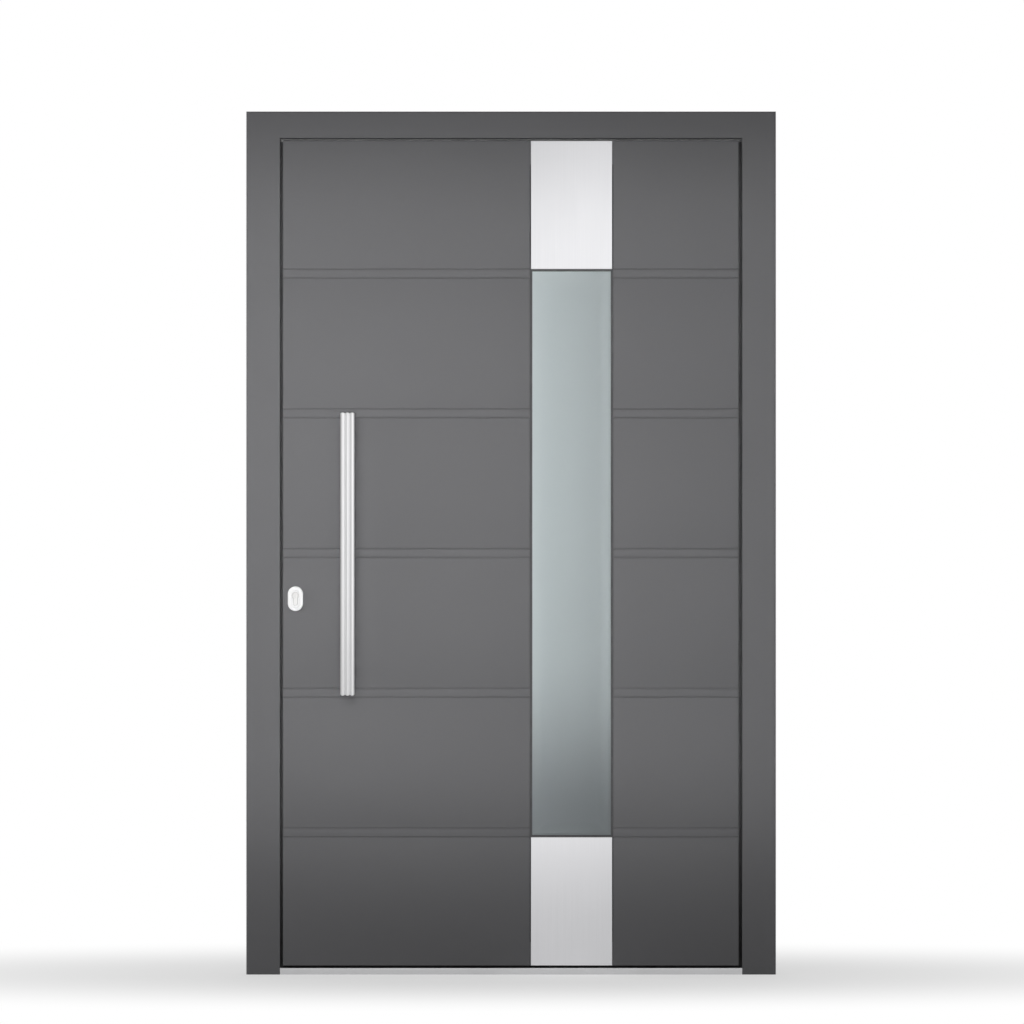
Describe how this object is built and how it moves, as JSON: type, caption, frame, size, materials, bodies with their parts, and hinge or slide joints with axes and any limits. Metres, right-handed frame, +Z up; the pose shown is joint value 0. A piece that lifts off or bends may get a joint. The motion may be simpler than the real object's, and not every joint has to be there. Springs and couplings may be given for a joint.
{
  "type": "aluminium front door with a glass strip",
  "caption": "Grey aluminium front door: flush grooved leaf with a satin glass strip, metal plates and a long pull bar, in a thermally broken frame, hinged to swing inwards.",
  "frame": {"origin": "on the floor, under the middle of the threshold, in the middle of the door's depth", "axes": "+X to the right as seen from outside, +Y into the house, +Z up"},
  "size_m": [1.35, 0.2055, 2.2],
  "materials": {
    "frame_paint": "fine matt powder coat",
    "leaf_paint": "fine matt powder coat",
    "brushed_plates": "brushed, satin",
    "handle_steel": "brushed, satin",
    "satin_nickel": "satin",
    "cylinder_nickel": "machined",
    "lock_steel": "brushed",
    "hinge_steel": "satin",
    "sill_aluminium": "natural anodised",
    "polyamide": "matt black",
    "foam": "sawn rigid foam",
    "gasket_rubber": "matt dark grey",
    "satin_glass": "etched outer pane",
    "clear_glass": "clear",
    "spacer": "satin light grey"
  },
  "bodies": {
    "frame": {"jamb_lock_outer": "frame_paint", "jamb_lock_inner": "frame_paint", "jamb_hinge_outer": "frame_paint", "jamb_hinge_inner": "frame_paint", "head_outer": "frame_paint", "head_inner": "frame_paint", "frame_thermal_bars": "polyamide", "threshold": "sill_aluminium", "stop_gasket": "gasket_rubber", "strike_plates": "lock_steel", "hinge_frame_parts": "hinge_steel", "hinge_pins": "hinge_steel"},
    "leaf": {"sheet_outer_lock": "leaf_paint", "sheet_outer_hinge": "leaf_paint", "sheet_inner_lock": "leaf_paint", "sheet_inner_hinge": "leaf_paint", "plate_outer_top": "brushed_plates", "plate_outer_bottom": "brushed_plates", "plates_inner": "brushed_plates", "stile_lock_outer": "leaf_paint", "stile_lock_inner": "leaf_paint", "stile_hinge_outer": "leaf_paint", "stile_hinge_inner": "leaf_paint", "rail_top_outer": "leaf_paint", "rail_top_inner": "leaf_paint", "rail_bottom_outer": "leaf_paint", "rail_bottom_inner": "leaf_paint", "leaf_thermal_bars": "polyamide", "insulation_core": "foam", "glazing_liner": "polyamide", "pane_outer": "satin_glass", "panes_inner": "clear_glass", "glass_spacers": "spacer", "glazing_gasket": "gasket_rubber", "glazing_beads": "leaf_paint", "pull_bar": "handle_steel", "pull_bar_posts": "handle_steel", "escutcheon_outer": "satin_nickel", "lock_cylinder": "cylinder_nickel", "lever_backplate": "handle_steel", "lever": "handle_steel", "lock_faceplate": "lock_steel", "lock_bolts": "lock_steel", "leaf_seals": "gasket_rubber", "hinge_leaf_parts": "hinge_steel"}
  },
  "joints": [
    {"name": "leaf_swing", "type": "hinge", "parent": "frame", "child": "leaf", "pos_m": [0.6125, 0.054, 0], "axis": [0, 0, -1], "range_deg": [0, 110]}
  ]
}
